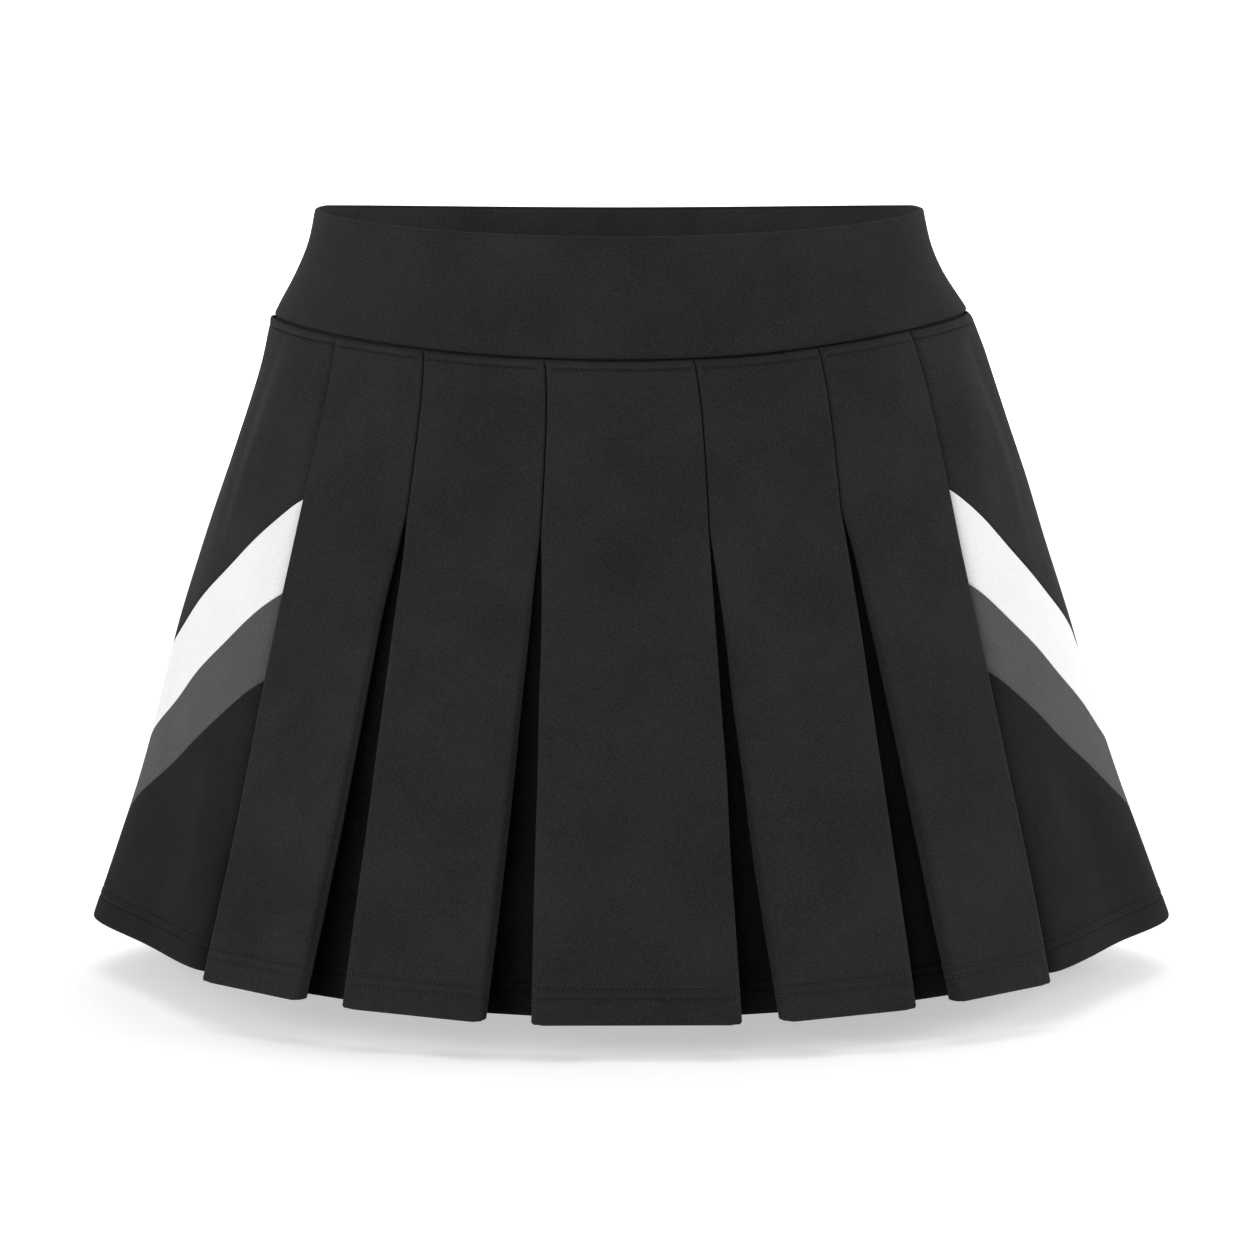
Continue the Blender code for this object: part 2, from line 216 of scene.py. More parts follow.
def cloth_wall(name, face, middle, outer, inner, sides=None, datum=None):
    """A closed wall of cloth round a grid of points, with rounded edges and a UV map in metres of cloth.

    Its sides lie outer and inner from the grid, or as sides says. U is 0 in the datum or the middle column.
    """
    rows, across = middle.shape[:2]
    outer, inner = np.broadcast_to(outer, (rows, across)), np.broadcast_to(inner, (rows, across))
    normal = outward(face, middle)
    outside, inside = sides or (middle + normal * outer[..., None], middle - normal * inner[..., None])
    centre, half = (outside + inside) / 2, (outer + inner) / 2
    i, j = border_of(rows, across)
    down, along = heading(middle, 0)[i, j], heading(middle, 1)[i, j]
    past_row = np.where(i == 0, -1, np.where(i == rows - 1, 1, 0))[:, None]
    past_column = np.where(j == 0, -1, np.where(j == across - 1, 1, 0))[:, None]
    past = unit(down * past_row + along * past_column)
    cloth_u, cloth_v = lengths(middle, 1), lengths(middle, 0)
    cloth_u = cloth_u - cloth_u[:, across // 2 if datum is None else datum, None]
    cloth_v = np.broadcast_to(cloth_v[:, across // 2, None], cloth_u.shape)
    flat = np.stack((cloth_u, -cloth_v), axis=-1)
    points, places = [outside.reshape(-1, 3)], [flat.reshape(-1, 2)]
    for turn in RIM:
        rounding = normal[i, j] * math.sin(turn) + past * math.cos(turn)
        points.append(centre[i, j] + half[i, j, None] * rounding)
        beyond = np.concatenate((past_column, -past_row), axis=1) * half[i, j, None] * math.cos(turn)
        places.append(flat[i, j] + beyond)
    points.append(inside.reshape(-1, 3))
    places.append(flat.reshape(-1, 2))
    faces = wall_faces(rows, across, i, j)
    if face == "back":
        faces = faces[:, ::-1]
    mesh = bpy.data.meshes.new(name)
    mesh.from_pydata((np.concatenate(points) * MM).tolist(), [], faces.tolist())
    uv = mesh.uv_layers.new(name="cloth")
    corners = np.empty(len(mesh.loops), np.int32)
    mesh.loops.foreach_get("vertex_index", corners)
    uv.data.foreach_set("uv", (np.concatenate(places) * MM)[corners].astype(np.float32).ravel())
    mesh.shade_smooth()
    return add(name + "_cloth", mesh), outside, inside


class Wire:
    """A node's socket. Arithmetic on wires adds Math nodes, and node() adds any other node."""

    def __init__(self, tree, socket=None):
        self.tree, self.socket = tree, socket

    def node(self, kind, settings=None, sockets=None, out=0):
        made = self.tree.nodes.new(kind)
        for key, value in (settings or {}).items():
            setattr(made, key, value)
        plug(made, sockets or {})
        return Wire(self.tree, made.outputs[out])

    def math(self, operation, first, second=0.0):
        return self.node("ShaderNodeMath", {"operation": operation}, {0: first, 1: second})

    def noise(self, scale, detail, roughness=0.5):
        where = self.node("ShaderNodeTexCoord", {}, {}, "Object")
        sockets = {"Vector": where, "Scale": scale, "Detail": detail, "Roughness": roughness}
        return self.node("ShaderNodeTexNoise", {}, sockets)

    def __add__(self, other):
        return self.math("ADD", self, other)

    def __sub__(self, other):
        return self.math("SUBTRACT", self, other)

    def __rsub__(self, other):
        return self.math("SUBTRACT", other, self)

    def __mul__(self, other):
        return self.math("MULTIPLY", self, other)

    __radd__, __rmul__ = __add__, __mul__

    def wave(self, pitch):
        """0 to 1 and back, once every pitch."""
        return 0.5 + 0.5 * self.math("COSINE", self * (2 * math.pi / pitch))


def plug(node, sockets):
    """Gives each of these sockets of a node its wire or its value."""
    for key, value in sockets.items():
        if isinstance(value, Wire):
            value.tree.links.new(value.socket, node.inputs[key])
        else:
            node.inputs[key].default_value = value


def new_material(name):
    """A material, a wire in its nodes, and its shader."""
    material = bpy.data.materials.new(name)
    material.use_nodes = True
    return material, Wire(material.node_tree), material.node_tree.nodes["Principled BSDF"]


# Double knit: its ribs and rows of loops, the fuzz of its fibres, and its soft unevenness
KNIT_RIB = 0.00082
KNIT_ROW = 0.00064
LOOP_DEPTH = 0.45  # how much lower a rib is between two loops
FUZZ_SCALE = 1500.0
BLOTCH_SCALE = 26.0
FUZZ_TONE, LOOP_TONE, BLOTCH_TONE = 2.9, 0.12, 1.1  # how much each lightens the cloth
DARKEST = 1.55  # what its darkest places have of the three together
LOOP_HEIGHT, FUZZ_HEIGHT, KNIT_RELIEF = 0.6, 0.9, 0.00022
MATT, FUZZ_GLEAM = 0.98, 0.16  # the cloth's roughness, and how much less it is on the fuzz
# Painted shade beside a fold at u = 0: its strength, its reach at the top, and how that grows per metre down
PaintedFoldShade = namedtuple("PaintedFoldShade", "strength reach growth")
# A painted highlight, a paler streak along a crease: its strength, its way from u = 0, how that grows per
# metre down, its width, how far down its middle is, and its reach from there
PaintedCreaseHighlight = namedtuple("PaintedCreaseHighlight", "strength way growth width middle reach")


def knit(name, dark, light, sheen=0.015, painted_shade=0.0, painted_fold_shade=None, painted_crease_highlight=None):
    """Double knit between two colours. Its painted shade lightens it by so much per metre across, and it may
    also have painted shade beside a fold and a painted highlight along a crease.
    """
    material, wire, shader = new_material(name)
    cloth = wire.node("ShaderNodeUVMap", {"uv_map": "cloth"})
    across = wire.node("ShaderNodeSeparateXYZ", {}, {0: cloth}, "X")
    up = wire.node("ShaderNodeSeparateXYZ", {}, {0: cloth}, "Y")
    fuzz = wire.noise(FUZZ_SCALE, 3.0, 0.6)
    blotch = wire.noise(BLOTCH_SCALE, 3.0, 0.55)
    rib = across.wave(KNIT_RIB)
    loop = (up + across * (KNIT_ROW / KNIT_RIB / 2)).wave(KNIT_ROW)
    loops = rib * (1 - LOOP_DEPTH + LOOP_DEPTH * loop)
    # The last term is painted shade, which lightens the knit across the piece
    tone = fuzz * FUZZ_TONE + loops * LOOP_TONE + blotch * BLOTCH_TONE - DARKEST + across * painted_shade
    colour = wire.node(
        "ShaderNodeMix", {"data_type": "RGBA", "clamp_factor": True},
        {"Factor": tone, 6: (*dark, 1.0), 7: (*light, 1.0)}, 2,
    )
    if painted_fold_shade or painted_crease_highlight:
        way = wire.math("ABSOLUTE", across)
    # Painted shade, darker towards a fold at u = 0
    if painted_fold_shade:
        from_fold = wire.math("DIVIDE", way, painted_fold_shade.reach - painted_fold_shade.growth * up)
        kept = 1 - painted_fold_shade.strength * wire.math("EXPONENT", from_fold * from_fold * -1.0)
        colour = wire.node("ShaderNodeVectorMath", {"operation": "SCALE"}, {0: colour, "Scale": kept})
    # A painted highlight, a paler streak along a crease
    if painted_crease_highlight:
        from_crease = wire.math("DIVIDE", way + painted_crease_highlight.growth * up - painted_crease_highlight.way, painted_crease_highlight.width)
        from_middle = wire.math("DIVIDE", up + painted_crease_highlight.middle, painted_crease_highlight.reach)
        painted_highlight = wire.math("EXPONENT", (from_crease * from_crease + from_middle * from_middle) * -1.0)
        paler = 1 + painted_crease_highlight.strength * painted_highlight
        colour = wire.node("ShaderNodeVectorMath", {"operation": "SCALE"}, {0: colour, "Scale": paler})
    height = loops * LOOP_HEIGHT + fuzz * FUZZ_HEIGHT
    bump = wire.node("ShaderNodeBump", {}, {"Height": height, "Strength": 0.45, "Distance": KNIT_RELIEF})
    plug(shader, {
        "Base Color": colour, "Roughness": MATT - FUZZ_GLEAM * fuzz, "Normal": bump,
        "Specular IOR Level": 0.05, "Sheen Weight": sheen, "Sheen Roughness": 0.45,
    })
    return material


BLACK_KNIT = knit("black_double_knit", (0.0154, 0.0141, 0.0145), (0.0298, 0.0276, 0.0282))
# The band's inside faces: the same black knit, painted about twice as light to stand in for light that hardly
# reaches inside the waist
FACING_KNIT_PAINTED_LIGHT = knit("black_facing_knit", (0.0295, 0.0273, 0.0280), (0.0555, 0.0516, 0.0527))

BAND_CLOTH = 2.4
BAND_TOP = BAND_CLOTH / 2  # the fold's roundness brings the edge back up to the waist
# The band's seam allowance turns down behind the skirt's top edge
BAND_FOOT = np.array((
    # drop, and how far the band's outside and inside then lie beyond the ring
    (43.2, 1.20, -1.20), (45.2, 1.20, -1.20), (46.5, 1.20, -1.20), (47.4, 1.18, -1.20),
    (47.8, 1.05, -1.20), (48.0, 0.80, -1.20), (48.1, 0.30, -1.25), (48.14, -0.60, -1.30),
    (48.5, -1.60, -2.20), (49.1, -2.70, -3.60), (49.8, -2.10, -3.70), (51.2, -1.70, -3.80),
    (53.7, -1.70, -3.80), (56.2, -1.70, -3.80),
))
BACK_LIFT, LIFT_DEPTH = 0.95, 40.0  # how much the top edge rises behind, and how far down that fades
LIFT_SHARE, LIFT_END = 0.85, 0.1  # shares of the way in which it rises, and falls
band_drops = np.concatenate((np.linspace(BAND_TOP, 6.0, 6), np.linspace(8.5, 41.0, 15), BAND_FOOT[:, 0]))
BAND_COLUMNS = 151
BAND_PRESS = 0.04  # its two pieces are pressed together at the sides, so that no light shows
BAND_WAVE, BAND_PUCKER = 0.45, 0.10  # heights of its soft waves, and of the puckers at its foot
WAVE_FROM, WAVE_TO = 1.0, 48.2  # drops between which it has waves
PUCKER_FROM, PUCKER_FADE = 36.0, 10.0  # the drop where the puckers begin, and over how much they come in
SIDE_FADE, EDGE_FADE = 20.0, 8.0  # how far from its sides and edges they are whole
FACING_SEAM, FACING_WAY = -0.757, 185.0  # the facing's seam behind, as a share of about this way to the side
FACING_GROOVE, GROOVE_WIDTH = 0.45, 0.7
GROOVE_COLUMNS = np.array((-2.2, -1.1, -0.55, 0.0, 0.55, 1.1, 2.2))  # from the seam


def put_on(piece, material, slot, *nodes):
    """Gives a piece its cloth and its place on the skirt, where it stands for the CAD's own walls."""
    piece.data.materials.append(material)
    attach(piece, "root")
    if nodes:
        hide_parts(*nodes)


overlock_lines = []  # pairs of lines on the inside: a cut's raw edge, and one that its thread reaches to
for face in ("front", "back"):
    end = side_way(face, band_drops)[:, None] - BAND_TOP + BAND_PRESS
    shares = np.linspace(-1.0, 1.0, BAND_COLUMNS)
    if face == "back":
        shares = np.sort(np.append(shares, FACING_SEAM + GROOVE_COLUMNS / FACING_WAY))
    way = end * shares
    drop = np.broadcast_to(band_drops[:, None], way.shape)
    beyond = np.interp(band_drops, BAND_FOOT[:, 0], BAND_FOOT[:, 1])[:, None]
    within = np.interp(band_drops, BAND_FOOT[:, 0], -BAND_FOOT[:, 2])[:, None]
    outside, inside = place(face, way, drop, -beyond), place(face, way, drop, within)
    if face == "back":
        to_end = np.abs(way) / end
        lift = BACK_LIFT * smooth(to_end / LIFT_SHARE) * smooth((1 - to_end) / LIFT_END)
        lift = lift * smooth((LIFT_DEPTH - drop) / LIFT_DEPTH)
        outside[..., 2] += lift
        inside[..., 2] += lift
    normal = unit(outside - inside)
    fade = smooth((end - np.abs(way)) / SIDE_FADE)
    fade = fade * smooth((drop - WAVE_FROM) / EDGE_FADE) * smooth((WAVE_TO - drop) / EDGE_FADE)
    relief = BAND_WAVE * ripples(way, drop, 11 if face == "front" else 12) * fade
    puckers = BAND_PUCKER * ripples(way, drop, 13, 16.0, 7.0)
    relief = relief + puckers * smooth((drop - PUCKER_FROM) / PUCKER_FADE)
    groove = 0.0
    if face == "back":
        from_seam = (shares - FACING_SEAM) * FACING_WAY
        groove = FACING_GROOVE * np.exp(-((from_seam / GROOVE_WIDTH) ** 2))
    sides = outside + normal * relief[..., None], inside + normal * (relief + groove)[..., None]
    half = (within + beyond) / 2
    piece, outside, inside = cloth_wall(f"waistband_{face}", face, sum(sides) / 2, half, half, sides)
    put_on(piece, BLACK_KNIT, "black_knit", f"waistband_{face}")
    # The inside faces take the knit painted lighter, as painted light
    piece.data.materials.append(FACING_KNIT_PAINTED_LIGHT)
    cells = (outside.shape[0] - 1) * (outside.shape[1] - 1)
    is_inside = np.arange(len(piece.data.polygons)) // cells == 1
    piece.data.polygons.foreach_set("material_index", is_inside.astype(np.int32))
    overlock_lines.append((inside[-1], inside[-2]))

# Gores. Ten panels of black double knit between the pleats, five in front and five behind. Their edges are
# pressed and turned back under themselves, stitched together down to the pleat's opening, and free below it.
CLOTH = 1.0
SEAM_GAP = 0.3
SKIRT_TOP, HEM = 49.0, 325.0
FOLD_RADIUS = 0.72
LAYER = 2 * FOLD_RADIUS
# How a pleat's edge bends from a straight line, at these shares of the way from its opening to the hem
BEND_STEPS = np.array((0.0, 0.1, 0.2, 0.35, 0.5, 0.65, 0.8, 1.0))
STRAIGHT = (0.0,) * 8
BOWED = (0.0, 1.1, 1.9, 2.7, 3.0, 2.7, 1.9, 0.0)
# Its places are ways along the ring, at the waist seam, where its stitching ends, and at the hem
Pleat = namedtuple(
    "Pleat", "name seam stitch_end stitch_drop hem_left hem_right hem_depth bend_left bend_right",
)
PLEATS = (
    Pleat("side_left", -134.0, -150.5, 118.0, -198.0, -198.0, 13.0, STRAIGHT, STRAIGHT),
    Pleat(
        "outer_left", -86.5, -95.3, 119.5, -144.2, -123.8, 12.0,
        (0.0, -0.2, -0.7, -0.4, -0.2, -0.3, -0.7, 0.0), (0.0, 1.2, 1.2, 1.2, 1.0, 0.6, 0.1, 0.0),
    ),
    Pleat(
        "inner_left", -32.0, -35.6, 124.0, -61.8, -41.1, 16.0,
        (0.0, 0.4, 0.8, 0.9, 1.0, 0.5, 0.0, 0.0), (0.0, 1.2, 1.7, 1.4, 1.3, 0.5, 0.1, 0.0),
    ),
    Pleat(
        "inner_right", 31.5, 35.6, 123.0, 45.1, 62.5, 17.0,
        (0.0, 0.6, 0.9, 1.1, 1.2, 0.2, 0.0, 0.0), (0.0, 0.9, 1.2, 0.5, 0.3, -0.5, -0.4, 0.0),
    ),
    Pleat(
        "outer_right", 87.5, 94.3, 118.5, 121.4, 140.2, 12.0,
        (0.0, 1.4, 2.0, 2.0, 1.8, 1.2, 0.6, 0.0), (0.0, 2.3, 2.8, 3.2, 3.1, 2.4, 1.7, 0.0),
    ),
    Pleat("side_right", 137.5, 152.7, 117.0, 191.7, 191.7, 13.0, BOWED, BOWED),
)
GORES = ("outer_left", "inner_left", "centre", "inner_right", "outer_right")
TUCK_SEAM, TUCK_STITCH, TUCK_HEM = 15.0, 18.0, 22.0  # how far an edge turns back under its gore
FOLDED_DEPTH = 2.9  # from a gore to the layer behind its folded edge, where the pleat is stitched shut

# How soft the folded edges are. Those that face the sides roll back, and the others are pressed sharp.
SOFT_ROLL, SHARP_ROLL = 6.2, 0.5
SOFT_WIDTHS = {"outer_left": 4.2, "inner_left": 3.7, "inner_right": 6.8, "outer_right": 4.2}
SHARP_WIDTH = 3.0
SOFT_CORNER, SHARP_CORNER = 0.6, 0.8  # radius of a hem's corner at a fold
CORNER_HEIGHT = 12.0  # how far up from the hem it fades
STIFF_HEM = 0.62  # how much a soft edge still rolls there
STIFF_FROM, STIFF_OVER = 285.0, 40.0  # the drop where that begins, and over how much

# The hem is turned up once and held by two rows of stitches, at these heights above its edge
HEM_ROWS = (10.7, 14.4)
HEM_TURN = 15.6
HEM_LAYER = 0.9
SEAM_ALLOWANCE = 6.0  # which every cut has beyond its seams

# The rows of points in a gore: near the waist seam and the hem they lie at these distances from them
BELOW_WAIST = np.array((0.2, 0.45, 0.7, 1.0, 1.4, 1.9, 2.3, 2.7, 3.2, 3.7, 4.2, 5.0, 6.6, 9.4, 13.0))
ABOVE_HEM = np.array((
    17.5, 16.4, 15.6, 15.0, 14.4, 13.8, 13.1, 12.3, 11.4, 10.7, 10.0, 9.2, 7.8, 6.0, 4.2, 2.7, 1.6, 1.0,
))
HEM_ZONE = 19.0  # below this distance from the hem, its own rows begin
TOP_SPAN, OPEN_SPAN = 70.0, 204.0  # about a level's length above the pleats' openings and below them
TOP_ROWS, OPEN_ROWS = 20, 62
LEVELS = np.concatenate((
    BELOW_WAIST / TOP_SPAN,
    np.linspace(BELOW_WAIST[-1] / TOP_SPAN, 1.0, TOP_ROWS)[1:],
    1.0 + np.linspace(0.0, 1.0 - HEM_ZONE / OPEN_SPAN, OPEN_ROWS)[1:],
    2.0 - ABOVE_HEM / OPEN_SPAN,
))[:, None]
OPEN = np.clip(LEVELS - 1.0, 0.0, 1.0)
WAIST_ROW_DROP = 3.2  # from the waist seam to its topstitching
WAIST_ROW = int(np.argmin(np.abs(BELOW_WAIST - WAIST_ROW_DROP)))


def pleat_drop(pleat, level):
    """The drop of a level of the cloth at a pleat. Levels 0 to 1 are stitched shut, and 1 to 2 are open."""
    shut = mix(SKIRT_TOP, pleat.stitch_drop, level)
    return np.where(level <= 1, shut, mix(pleat.stitch_drop, HEM, level - 1))


def opened(pleat, drop):
    """0 where a pleat is stitched shut, and 1 at the hem."""
    return np.maximum(drop - pleat.stitch_drop, 0.0) / (HEM - pleat.stitch_drop)


def smooth_through(steps, values, at):
    """A smooth curve through these values at these steps."""
    values = np.array(values)
    slopes = np.gradient(values, steps)
    i = np.clip(np.searchsorted(steps, at, side="right") - 1, 0, len(steps) - 2)
    span = steps[i + 1] - steps[i]
    t = (at - steps[i]) / span
    bent = t * (1 - t) * span * ((1 - t) * slopes[i] - t * slopes[i + 1])
    return mix(values[i], values[i + 1], t * t * (3 - 2 * t)) + bent


def edge_way(pleat, drop, side):
    """Where a pleat's folded edge lies along its ring: the left one if side is -1, the right one if 1."""
    apart = side * (CLOTH + SEAM_GAP) / 2
    shut = mix(pleat.seam, pleat.stitch_end, (drop - SKIRT_TOP) / (pleat.stitch_drop - SKIRT_TOP)) + apart
    at_hem, bend = (pleat.hem_left, pleat.bend_left) if side < 0 else (pleat.hem_right, pleat.bend_right)
    down = opened(pleat, drop)
    free = mix(pleat.stitch_end + apart, at_hem, down) + smooth_through(BEND_STEPS, bend, down)
    return np.where(drop <= pleat.stitch_drop, shut, free)


def tuck(pleat, drop):
    """How far the folded edges of a pleat turn back under their gores."""
    shut = mix(TUCK_SEAM, TUCK_STITCH, (drop - SKIRT_TOP) / (pleat.stitch_drop - SKIRT_TOP))
    return np.where(drop <= pleat.stitch_drop, shut, mix(TUCK_STITCH, TUCK_HEM, opened(pleat, drop)))


def back_depth(pleat, drop):
    """How far inside the ring the cloth behind a pleat lies."""
    return mix(FOLDED_DEPTH, pleat.hem_depth, opened(pleat, drop))


def corner_lift(from_edge, above_hem, soft):
    """How much a hem rises to round its corner at a fold."""
    corner = SOFT_CORNER if soft else SHARP_CORNER
    near = np.clip(corner - from_edge, 0.0, corner)
    return (corner - np.sqrt(corner**2 - near**2)) * np.clip(1 - above_hem / CORNER_HEIGHT, 0.0, 1.0)


# Heights and half widths of what allowances and stitches do to the cloth over them
HEM_SWELLING, HEM_DENT, HEM_DENT_WIDTH = 0.4, 1.05, 0.7
HEM_STEP, HEM_STEP_WIDTH = 16.5, 3.0
WAIST_SWELLING, WAIST_TURN_WIDTH = 0.8, 0.75
WAIST_DENT, WAIST_DENT_WIDTH = 0.9, 0.6


def bell(distance, width):
    """1 at no distance, and nearly 0 from twice this width on."""
    return np.exp(-((distance / width) ** 2))


def hem_relief(above_hem):
    """The dents of the hem's two rows of stitches, and the soft swelling below and between them."""
    dents = sum(bell(above_hem - row, HEM_DENT_WIDTH) for row in HEM_ROWS)
    swelling = smooth(above_hem / HEM_STEP_WIDTH) * smooth((HEM_STEP - above_hem) / HEM_STEP_WIDTH)
    return HEM_SWELLING * swelling - HEM_DENT * dents


def waist_relief(below):
    """The top edge's turn into the seam, its allowance under the cloth, and the topstitching's dent."""
    swelling = WAIST_SWELLING * np.sin(math.pi * np.clip(below / WAIST_ROW_DROP, 0.0, 1.0) ** 1.05)
    turn = WAIST_SWELLING * bell(below, WAIST_TURN_WIDTH)
    return swelling - turn - WAIST_DENT * bell(below - WAIST_ROW_DROP, WAIST_DENT_WIDTH)


def hem_rows(rows):
    """Which of a wall's rows of points the hem's two rows of stitches follow."""
    return [rows - len(ABOVE_HEM) + int(np.argmin(np.abs(ABOVE_HEM - height))) for height in HEM_ROWS]


def hem_wall(above_hem, share=1.0):
    """How far a wall's inside lies from its middle: half the cloth, and the hem's layer at the foot."""
    return CLOTH / 2 + HEM_LAYER * (smooth((HEM_TURN - above_hem) / 0.5) * share)


def hang(top, bottom):
    """Works out a gore's or an insert's width at the foot and its area as cut, with its hem and a seam's
    allowance, and uses neither.
    """
    length = HEM - SKIRT_TOP + HEM_TURN + SEAM_ALLOWANCE
    bottom * MM
    (top + bottom) / 2 * length * MM * MM


def crowded(count, evenly):
    """This many numbers from 0 to 1, which crowd at both ends, less so the larger evenly is."""
    even = np.linspace(0.0, 1.0, count)
    return evenly * even + (1 - evenly) * (0.5 - 0.5 * np.cos(math.pi * even))


TUCK_COLUMNS = 6
FOLD_COLUMNS = 7
FACE_SHARES = crowded(41, 0.3)[1:-1]


def edge_roll(pleat, drop, soft):
    """How far a folded edge rolls back: not where it is stitched shut, and less at the stiffer hem."""
    room = back_depth(pleat, drop) - FOLDED_DEPTH
    if not soft:
        return np.minimum(0.4 * room, SHARP_ROLL)
    return np.minimum(0.6 * room, SOFT_ROLL) * mix(1.0, STIFF_HEM, smooth((drop - STIFF_FROM) / STIFF_OVER))


# A gore's edge at a pleat. Its columns run from its tucked end round the fold to where its face begins
Edge = namedtuple("Edge", "columns drop way roll width soft")


def folded_edge(face, pleat, side):
    """The edge of the gore that lies on this side of a pleat."""
    drop, soft = pleat_drop(pleat, LEVELS), pleat.seam * side > 0
    roll = edge_roll(pleat, drop, soft)
    end_in, end_deep = tuck(pleat, drop), back_depth(pleat, drop) - LAYER
    run, rise = end_in - FOLD_RADIUS, end_deep - FOLD_RADIUS - roll
    touch = np.arctan2(rise, run) + np.arccos(FOLD_RADIUS / np.hypot(run, rise))
    turn = mix(touch, 1.5 * math.pi, np.linspace(0.0, 1.0, FOLD_COLUMNS))
    fold_in, fold_deep = FOLD_RADIUS * (1 + np.cos(turn)), FOLD_RADIUS * (1 + np.sin(turn)) + roll
    back = np.linspace(0.0, 1.0, TUCK_COLUMNS + 1)[:-1]
    inward = np.concatenate((mix(end_in, fold_in[:, :1], back), fold_in), axis=1)
    deep = np.concatenate((mix(end_deep, fold_deep[:, :1], back), fold_deep), axis=1)
    lift = corner_lift(inward, HEM - drop, soft)
    way = edge_way(pleat, drop, side)
    columns = place(face, way + side * inward, drop - lift, deep)[:, ::side]
    width = SOFT_WIDTHS[pleat.name] if soft else SHARP_WIDTH
    return Edge(columns, drop, way + side * FOLD_RADIUS, roll, width, soft)


hem_stitch_paths, insert_stitch_paths, waist_stitch_paths = [], [], []  # lines that stitches follow
GORE_WAVE, PUCKER = 0.55, 0.12
WAVE_TOP, WAVE_FADE = 54.0, 14.0  # the drop from which a panel has waves, and over how far they come in
HEM_PUCKERS, WAIST_PUCKERS = 12.5, 56.0  # the height above the hem, and the drop, where the puckers lie


def gore_relief(way, drop, from_edge, seed):
    """How far a gore's cloth stands out: its waves, its hem and top edge, and puckers along both."""
    above_hem = HEM - drop
    fade = smooth(from_edge / WAVE_FADE) * smooth((drop - WAVE_TOP) / WAVE_FADE)
    relief = GORE_WAVE * ripples(way, drop, seed, 110.0, 45.0) * fade
    relief = relief + (hem_relief(above_hem) + waist_relief(LEVELS * TOP_SPAN)) * smooth(from_edge / 2.5)
    puckers = bell(above_hem - HEM_PUCKERS, 5.0) + bell(drop - WAIST_PUCKERS, 4.0)
    return relief + PUCKER * ripples(way, drop, seed + 50, 15.0, 6.0) * puckers * smooth(from_edge / 5.0)


def make_gore(face, name, left, right, seed):
    near, far = folded_edge(face, left, 1), folded_edge(face, right, -1)
    way, drop = mix(near.way, far.way, FACE_SHARES), mix(near.drop, far.drop, FACE_SHARES)
    above_hem, span = HEM - drop, far.way - near.way
    from_near, from_far = span * FACE_SHARES + FOLD_RADIUS, span * (1 - FACE_SHARES) + FOLD_RADIUS
    rolled, lift = 0.0, 0.0
    for edge, distance in ((near, from_near), (far, from_far)):
        rolled = rolled + edge.roll * np.clip(1 - distance / edge.width, 0, 1) ** 3
        lift = lift + corner_lift(distance, above_hem, edge.soft)
    on_ring = place(face, way, drop)
    across = mix(place(face, near.way, near.drop), place(face, far.way, far.drop), FACE_SHARES[:, None])
    face_points = mix(on_ring, across, OPEN[..., None]) + place(face, way, drop - lift, rolled) - on_ring
    middle = np.concatenate((near.columns, face_points, far.columns), axis=1)
    on_face = slice(near.columns.shape[1], -far.columns.shape[1])
    from_edge = np.minimum(from_near, from_far)
    relief = gore_relief(way, drop, from_edge, seed)
    middle[:, on_face] += outward(face, middle)[:, on_face] * relief[..., None]
    inner = np.full(middle.shape[:2], CLOTH / 2)
    inner[:, on_face] = hem_wall(above_hem, smooth((from_edge - 2.0) / 3.0))
    piece, outside, inside = cloth_wall(f"{face}_gore_{name}", face, middle, CLOTH / 2, inner)
    put_on(piece, BLACK_KNIT, "black_knit", f"{face}_gore_{name}")
    top = (right.seam - left.seam) + 2 * (TUCK_SEAM + SEAM_ALLOWANCE)
    bottom = right.hem_left - left.hem_right + 2 * (TUCK_HEM + SEAM_ALLOWANCE)
    hang(top, bottom)
    # A row of stitches lies a little below the row of points in its dent
    sewn, turned_up = slice(TUCK_COLUMNS - 2, 2 - TUCK_COLUMNS), slice(TUCK_COLUMNS + 6, -TUCK_COLUMNS - 6)
    rows = np.array(hem_rows(len(LEVELS)))
    hem_stitch_paths.extend(mix(outside[rows, sewn], outside[rows + 1, sewn], 0.5))
    waist_stitch_paths.append(mix(outside[WAIST_ROW, on_face], outside[WAIST_ROW + 1, on_face], 0.7))
    overlock_lines.append(inside[rows, turned_up])


for face, seed in (("front", 100), ("back", 200)):
    for index, name in enumerate(GORES):
        make_gore(face, name, PLEATS[index], PLEATS[index + 1], seed + index)

# Pleat inserts. A strip of black double knit behind each pleat, sewn to the tucked edges on both its sides.
# It lies deep in the opening, in the shade of the gores, and its knit has painted shade: far darker than the
# gores' knit, and lighter across towards one side.
INSERT_COLUMNS = 23
INSERT_WAVE = 0.8
INSERT_KNIT_PAINTED_SHADE = knit(
    "black_double_knit_inside_pleats", (0.0012, 0.0010, 0.0011), (0.0078, 0.0071, 0.0073),
    sheen=0.0, painted_shade=75.0,
)


